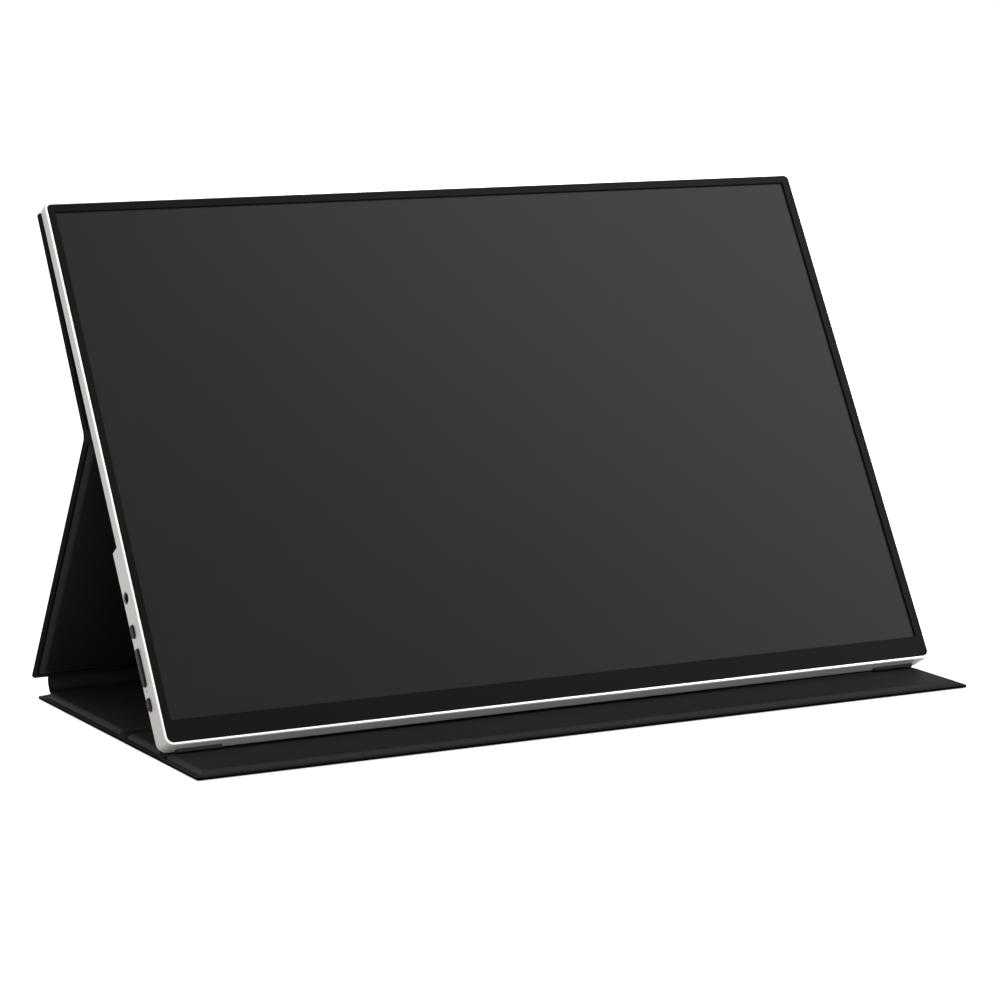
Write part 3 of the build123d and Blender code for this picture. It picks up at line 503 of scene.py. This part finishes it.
# cover panels
cover = {
    "thick": 2.9,              # whole panel
    "lipThick": 1.2,
    "lipWidth": 2.35,
    "bevelWidth": 2.1,         # soft slope from the pressed line up to the pad
    "halfGroove": 3.25,        # crease line to the panels beside it
    "legCreaseReach": 1.7,     # upper crease line to the leg's lower edge
    "lap": 0.45,               # how far a panel reaches under the next crease
    "skinRound": ((0.4, 0.0), (0.12, 0.05), (0.0, 0.2)),    # inset, height over the outer skin
    "lipRound": ((0.0, 0.2), (0.1, 0.06), (0.35, 0.0)),     # inset, depth under the lip's face
    "pressedLine": ((-0.75, -0.45, 0.0), (-0.5, -0.27, 0.06), (-0.25, -0.135, 0.26),
                    (-0.02, -0.02, 0.3), (0.12, 0.04, 0.18)),    # past the lip, past a crease end, depth
    "padRound": ((0.2, 0.7), (0.42, 0.43), (0.62, 0.26), (0.8, 0.155), (1.0, 0.085), (1.25, 0.036),
                 (1.55, 0.01), (1.9, 0.0), (2.9, 0.0)),    # inset in bevel widths, drop in pad rises
    "cornerRadius": 1.2,
    "padCorner": 0.8,
    "leastCorner": 0.15,
    "lineCorner": 0.3,         # pressed line's corners beside a crease
    "creaseCorner": 0.02,      # lip's corners beside a crease, all but square
    "lineReach": 0.6,          # how far the pressed line's corners reach into the lip
}
panelLooks = ("innerLeather", "paintedShadeLeatherEdge", "outerLeather", "pressedLeather", "paintedSheenLeather",
              "paintedCreaseShade")    # in the order of a panel's material slots
panelBands = (("paintedShadeLeatherEdge", 5), ("pressedLeather", 2), ("paintedCreaseShade", 4), ("paintedSheenLeather", 5),
              ("innerLeather", 4))    # how many bands between rings each look takes, in order


def padRings():
    # (inset from a free edge, inset at a crease end, height) in mm, outer skin first
    lip, bevel, lap = cover["lipWidth"], cover["bevelWidth"], cover["lap"]
    low, high = cover["lipThick"], cover["thick"]
    rings = [(inset, -lap, height) for inset, height in cover["skinRound"]]
    rings.append((0.0, -lap, low / 2))
    rings += [(inset, -lap, low - depth) for inset, depth in cover["lipRound"]]
    rings += [(lip + past, reach, low - depth) for past, reach, depth in cover["pressedLine"]]
    for share, drop in cover["padRound"]:
        rings.append((lip + bevel * share, bevel * share, high - drop * (high - low)))
    return rings


def panelMesh(width, length, freeLow, freeHigh):
    lip, corner = cover["lipWidth"], cover["cornerRadius"]
    slots = [panelLooks.index(look) for look, count in panelBands for _ in range(count)]
    mesh = bmesh.new()
    loops = []
    for inset, creaseInset, height in padRings():
        low = inset if freeLow else creaseInset
        high = length - (inset if freeHigh else creaseInset)
        radii = []
        for isFree in (freeLow, freeHigh):
            radius = max(corner - inset, cover["leastCorner"]) if isFree else cover["creaseCorner"]
            if inset > lip - cover["lineReach"]:
                radius = cover["padCorner"] if isFree or inset >= lip else cover["lineCorner"]
            radii.append(radius)
        loop = cornerLoop(width / 2 - inset, low, high, radii)
        loops.append([mesh.verts.new((x * mm, y * mm, height * mm)) for x, y in loop])
    for first, second, slot in zip(loops, loops[1:], slots):
        bridge(mesh, first, second, slot)
    mesh.faces.new(loops[0]).material_index = panelLooks.index("outerLeather")
    mesh.faces.new(loops[-1]).material_index = panelLooks.index("innerLeather")
    return mesh


def placePanel(thing, origin, along, inward):
    turn = Matrix((Vector((1, 0, 0)), along, inward)).transposed().to_4x4()
    thing.data.transform(Matrix.Translation(origin) @ turn)
    thing.data.update()


legLow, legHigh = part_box("leg_skin")
coverWidth = (legHigh.x - legLow.x) / mm
coverMid = Vector(((legHigh.x + legLow.x) / 2, 0, 0))    # the monitor doesn't sit at its middle
halfThin = cover["lipThick"] / 2 * mm
grooveReach = cover["halfGroove"] * mm
legReach = cover["legCreaseReach"] * mm
up = Vector((0, 0, 1))
back = Vector((0, 1, 0))


def slantLength(node, along):
    spans = [Vector(v.co).dot(along) for v in nodes[node].data.vertices]
    return (max(spans) - min(spans)) / mm


panels = {
    "backPanelLeather": {
        "body": "monitor", "nodes": ("back_panel_skin", "back_panel_lining"),
        "origin": foldAt - backIn * halfThin + backUp * grooveReach,
        "along": backUp, "inward": backIn, "free": (False, True)},
    "legLeather": {
        "body": "leg", "nodes": ("leg_skin", "leg_lining"),
        "origin": spineTop - legDown * legReach - legIn * halfThin,
        "along": -legDown, "inward": legIn, "free": (True, False)},
    "rearBaseLeather": {
        "body": "rear_base", "nodes": ("rear_base_skin", "rear_base_lining"),
        "origin": rearGrooveAt - up * halfThin + back * grooveReach,
        "along": back, "inward": up, "free": (False, True)},
    "midBaseLeather": {
        "body": "mid_base", "nodes": ("mid_base_skin", "mid_base_lining"),
        "origin": standGrooveAt - up * halfThin + back * grooveReach,
        "along": back, "inward": up, "free": (False, False)},
    "frontBaseLeather": {
        "body": "front_base", "nodes": ("front_base_skin", "front_base_lining"),
        "origin": Vector((0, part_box("front_base_skin")[0].y, 0)),
        "along": back, "inward": up, "free": (True, False)},
}
for name, panel in panels.items():
    length = slantLength(panel["nodes"][0], panel["along"])
    piece = meshObject(name, panelMesh(coverWidth, length, *panel["free"]),
                       [leather[look] for look in panelLooks])
    placePanel(piece, panel["origin"] + coverMid, panel["along"], panel["inward"])
    sharpen(piece)
    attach(piece, panel["body"])
    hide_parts(*panel["nodes"])
print("stage: cover panels", len(panels))


# creases: thin leather that bends
crease = {
    "thick": 1.16,             # a hair under the panels' edges
    "edge": 0.3,
    "spineInset": 7.3,         # spine's ends inside the panels' ends
    "baseReach": 3.6,          # lower crease line to the base's rear edge
    "grooveSteps": 10,
    "foldSteps": 20,
    "spineSteps": 16,
    "flareWidth": 4.6,         # widening of the lower crease where it meets the base
    "flareLength": 2.7,
    "flareHollow": 2.4,        # power of its hollow curve
    "edgeCut": ((1.0, 1.0), (0.2, 0.8), (0.0, 0.5)),    # inset in edges, height in half thicknesses
    "wideFace": 10.0,          # faces wider than this show the leather, the rest the near-black edge leather, painted shade
    "legStart": 0.1,           # spine's guide point in front of its upper crease line
    "bellyShare": 0.62,        # how far down the spine its belly is fullest
    "bellyOut": 1.17,          # and how far it stands out to the rear there
    "bellyDrop": 0.1,
    "heelOut": 1.0,            # spine's guide point behind its lower crease line
    "legTurn": 2.5,            # leather from the leg to the spine's stiff part
    "baseTurn": 4.9,           # and from there to the base
}


def stripMesh(path, halfWidths, thick):
    # strip along a side-view path, halfWidths gives its half width at each point
    # the edge slot takes the near-black edge leather, painted shade
    leatherSlot, edgeSlot = 0, 1
    mesh = bmesh.new()
    edge = crease["edge"] * mm
    flat = thick / 2
    rings = []
    for i, (point, half) in enumerate(zip(path, halfWidths)):
        before = path[max(i - 1, 0)]
        after = path[min(i + 1, len(path) - 1)]
        along = (after - before).normalized()
        side = Vector((0, -along.z, along.y))
        below = [(half - edge * inset, -flat * share) for inset, share in crease["edgeCut"]]
        right = below + [(x, -h) for x, h in reversed(below)]
        profile = right + [(-x, h) for x, h in reversed(right)]
        rings.append([mesh.verts.new(point + coverMid + Vector((x, 0, 0)) + side * h)
                      for x, h in profile])
    for first, second in zip(rings, rings[1:]):
        bridge(mesh, first, second, edgeSlot)
    for face in mesh.faces:
        wide = max(v.co.x for v in face.verts) - min(v.co.x for v in face.verts)
        if wide > crease["wideFace"] * mm:
            face.material_index = leatherSlot
    for ring in (rings[0], rings[-1]):
        mesh.faces.new(ring).material_index = edgeSlot
    return mesh


def curvePath(points, steps):
    # smooth path that starts and ends on its first and last guide points
    curve = bpy.data.curves.new("guide", "CURVE")
    curve.dimensions = "3D"
    curve.resolution_u = steps
    spline = curve.splines.new("NURBS")
    spline.points.add(len(points) - 1)
    for target, point in zip(spline.points, points):
        target.co = (*point, 1)
    spline.order_u = 3
    spline.use_endpoint_u = True
    holder = bpy.data.objects.new("guide", curve)
    line = bpy.data.meshes.new_from_object(holder)
    path = [v.co.copy() for v in line.vertices]
    bpy.data.objects.remove(holder)
    bpy.data.meshes.remove(line)
    bpy.data.curves.remove(curve)
    return path


def makeStrip(name, path, halfWidths, node, bodies, look):
    mesh = stripMesh(path, halfWidths, crease["thick"] * mm)
    piece = meshObject(name, mesh, (leather[look], leather["paintedShadeLeatherEdge"]))
    sharpen(piece)
    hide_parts(node)
    if len(bodies) == 1:
        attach(piece, bodies[0])
    else:
        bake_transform(piece)
    return piece


halfCover = coverWidth / 2 * mm
halfSpine = halfCover - crease["spineInset"] * mm
foldPath = curvePath([foldAt + backUp * grooveReach, foldAt, foldAt + legDown * grooveReach],
                     crease["foldSteps"])
makeStrip("foldLeather", foldPath, [halfCover] * len(foldPath), "fold_crease", ("monitor", "leg"),
          "outerLeather")
for name, node, bodies, middle in (
        ("rearGrooveLeather", "rear_groove", ("rear_base", "mid_base"), rearGrooveAt),
        ("standGrooveLeather", "stand_groove", ("mid_base", "front_base"), standGrooveAt)):
    steps = crease["grooveSteps"]
    path = [middle + back * grooveReach * (1 - 2 * i / steps) for i in range(steps + 1)]
    makeStrip(name, path, [halfCover] * len(path), node, bodies, "pressedLeather")

# leg, spine and base: one smooth belly, cut in three where the bodies change
legEdge = spineTop - legDown * legReach
baseEdge = spineLow + baseFront * (crease["baseReach"] * mm)
fullest = spineTop.lerp(spineLow, crease["bellyShare"])
fullest += back * crease["bellyOut"] * mm + spineDown * crease["bellyDrop"] * mm
belly = [legEdge, spineTop - back * crease["legStart"] * mm, fullest,
         spineLow + back * crease["heelOut"] * mm, baseEdge]
wholePath = curvePath(belly, crease["spineSteps"])
lengths = [0.0]
for first, second in zip(wholePath, wholePath[1:]):
    lengths.append(lengths[-1] + (second - first).length)
total = lengths[-1]
halfWidths = []
for reached in lengths:
    share = max(0.0, 1 - (total - reached) / (crease["flareLength"] * mm))
    halfWidths.append(halfSpine + crease["flareWidth"] * mm * share ** crease["flareHollow"])


def nearest(distance):
    return min(range(len(lengths)), key=lambda i: abs(lengths[i] - distance))


legEnd = nearest(crease["legTurn"] * mm)
baseStart = nearest(total - crease["baseTurn"] * mm)
makeStrip("legCreaseLeather", wholePath[:legEnd + 1], halfWidths[:legEnd + 1], "leg_crease",
          ("leg", "spine"), "innerLeather")
spinePiece = makeStrip("spineLeather", wholePath[legEnd:baseStart + 1], halfWidths[legEnd:baseStart + 1],
                       "spine_skin", ("spine",), "innerLeather")
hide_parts("spine_lining")
makeStrip("baseCreaseLeather", wholePath[baseStart:], halfWidths[baseStart:], "base_crease",
          ("spine", "rear_base"), "innerLeather")
print("stage: creases bent")


# contacts in the sockets
contacts = {
    "usbCount": 12,
    "usbPitch": 0.5,
    "hdmiCount": 10,
    "hdmiPitch": 0.72,
    "hdmiRise": 0.45,
    "length": 3.6,
    "width": 0.26,
    "thick": 0.06,
    "setBack": 1.5,            # from the socket's mouth
    "rowReach": 0.36,          # from the tongue's middle to each row
}


def makeContacts(name, node, count, pitch, rise):
    low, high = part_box(node)
    middle = (low + high) / 2
    right = high.x - contacts["setBack"] * mm
    size = (contacts["length"] * mm, contacts["width"] * mm, contacts["thick"] * mm)
    turn = Matrix((Vector((1, 0, 0)), screenUp, screenOut)).transposed().to_4x4()
    mesh = bmesh.new()
    for side in (-1, 1):
        for i in range(count):
            along = (i - (count - 1) / 2) * pitch * mm
            centre = Vector((right - size[0] / 2, middle.y, middle.z))
            centre += screenUp * along + screenOut * (rise + side * contacts["rowReach"]) * mm
            made = bmesh.ops.create_cube(mesh, size=1.0)["verts"]
            bmesh.ops.scale(mesh, vec=size, verts=made)
            bmesh.ops.transform(mesh, matrix=Matrix.Translation(centre) @ turn, verts=made)
    piece = meshObject(name, mesh, (finish["contactGold"],), smooth=False)
    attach(piece, "monitor")


makeContacts("usbContactsLow", "usb_socket_low", contacts["usbCount"], contacts["usbPitch"], 0.0)
makeContacts("usbContactsHigh", "usb_socket_high", contacts["usbCount"], contacts["usbPitch"], 0.0)
makeContacts("hdmiContacts", "mini_hdmi_socket", contacts["hdmiCount"], contacts["hdmiPitch"],
             contacts["hdmiRise"])
print("stage: socket contacts")

# floor, light and camera
studio = {
    "floorSize": 16.0,         # metres
    "floorDrop": 0.0003,       # metres under the part, so that the two don't share a plane
    "floorColour": (0.86, 0.86, 0.86),
    "floorRough": 0.9,
    "floorSpecular": 0.1,
    "floorGlow": 0.62,         # what the camera and shiny surfaces see on top of the light
    "worldLevel": 0.46,
    "backdrop": 1.0,
    "aim": (0, 0, 0.1),        # metres, where every softbox looks
}
softboxes = {                  # metres and watts
    "rightHigh": {"place": (1.52, -0.6, 1.56), "size": (1.5, 1.7), "energy": 24.0},
    "leftHigh": {"place": (-2.0, -0.2, 1.3), "size": (1.6, 1.2), "energy": 11.0},
    "frontLow": {"place": (-0.3, -2.6, 0.17), "size": (2.4, 0.3), "energy": 42.0},
    "behindHigh": {"place": (-0.3, 1.7, 1.6), "size": (2.2, 1.4), "energy": 20.0},
}


def shinyOrCamera(tree):
    rays = tree.nodes.new("ShaderNodeLightPath")
    seen = mathNode(tree, "MAXIMUM", rays.outputs["Is Camera Ray"], rays.outputs["Is Glossy Ray"])
    return mathNode(tree, "MAXIMUM", seen, rays.outputs["Is Transmission Ray"])


def makeFloor():
    mesh = bmesh.new()
    bmesh.ops.create_grid(mesh, x_segments=2, y_segments=2, size=studio["floorSize"] / 2)
    material, tree, shader = newMaterial("paleFloor", Roughness=studio["floorRough"],
                                         Specular_IOR_Level=studio["floorSpecular"])
    shader.inputs["Base Color"].default_value = (*studio["floorColour"], 1)
    glow = mathNode(tree, "MULTIPLY", shinyOrCamera(tree), studio["floorGlow"])
    tree.links.new(glow, shader.inputs["Emission Strength"])
    shader.inputs["Emission Color"].default_value = (1, 1, 1, 1)
    floor = meshObject("floor", mesh, (material,))
    floor.location.z = -studio["floorDrop"]


def makeWorld():
    world = bpy.data.worlds.new("studio")
    bpy.context.scene.world = world
    world.use_nodes = True
    tree = world.node_tree
    background = tree.nodes["Background"]
    background.inputs["Color"].default_value = (1, 1, 1, 1)
    extra = mathNode(tree, "MULTIPLY", shinyOrCamera(tree), studio["backdrop"] - studio["worldLevel"])
    level = mathNode(tree, "ADD", extra, studio["worldLevel"])
    tree.links.new(level, background.inputs["Strength"])


def makeSoftbox(name, place, size, energy):
    light = bpy.data.lights.new(name, "AREA")
    light.shape = "RECTANGLE"
    light.size, light.size_y = size
    light.energy = energy
    lamp = bpy.data.objects.new(name, light)
    bpy.context.scene.collection.objects.link(lamp)
    lamp.location = place
    aim = Vector(studio["aim"]) - Vector(place)
    lamp.rotation_euler = aim.to_track_quat("-Z", "Y").to_euler()


view = {
    "place": (-713.37, -1299.45, 324.27),
    "azimuth": 28.651,         # degrees to the right of +Y
    "drop": 9.339,             # degrees below the horizon
    "roll": 0.177,
    "focal": 131.06,
    "sensor": 36.0,
}


def makeCamera():
    azimuth, drop = math.radians(view["azimuth"]), math.radians(view["drop"])
    forward = Vector((math.sin(azimuth) * math.cos(drop), math.cos(azimuth) * math.cos(drop),
                      -math.sin(drop)))
    right = Vector((math.cos(azimuth), -math.sin(azimuth), 0))
    upward = right.cross(forward)
    roll = math.radians(view["roll"])
    rolledRight = math.cos(roll) * right + math.sin(roll) * upward
    rolledUp = -math.sin(roll) * right + math.cos(roll) * upward
    camera = bpy.data.objects.new("camera", bpy.data.cameras.new("camera"))
    bpy.context.scene.collection.objects.link(camera)
    turn = Matrix((rolledRight, rolledUp, -forward)).transposed().to_4x4()
    camera.matrix_world = Matrix.Translation(Vector(view["place"]) * mm) @ turn
    camera.data.lens = view["focal"]
    camera.data.sensor_width = view["sensor"]
    bpy.context.scene.camera = camera


makeFloor()
makeWorld()
for name, softbox in softboxes.items():
    makeSoftbox(name, **softbox)
makeCamera()
bpy.context.scene.view_settings.view_transform = "Standard"
print("stage: floor, lights and camera")
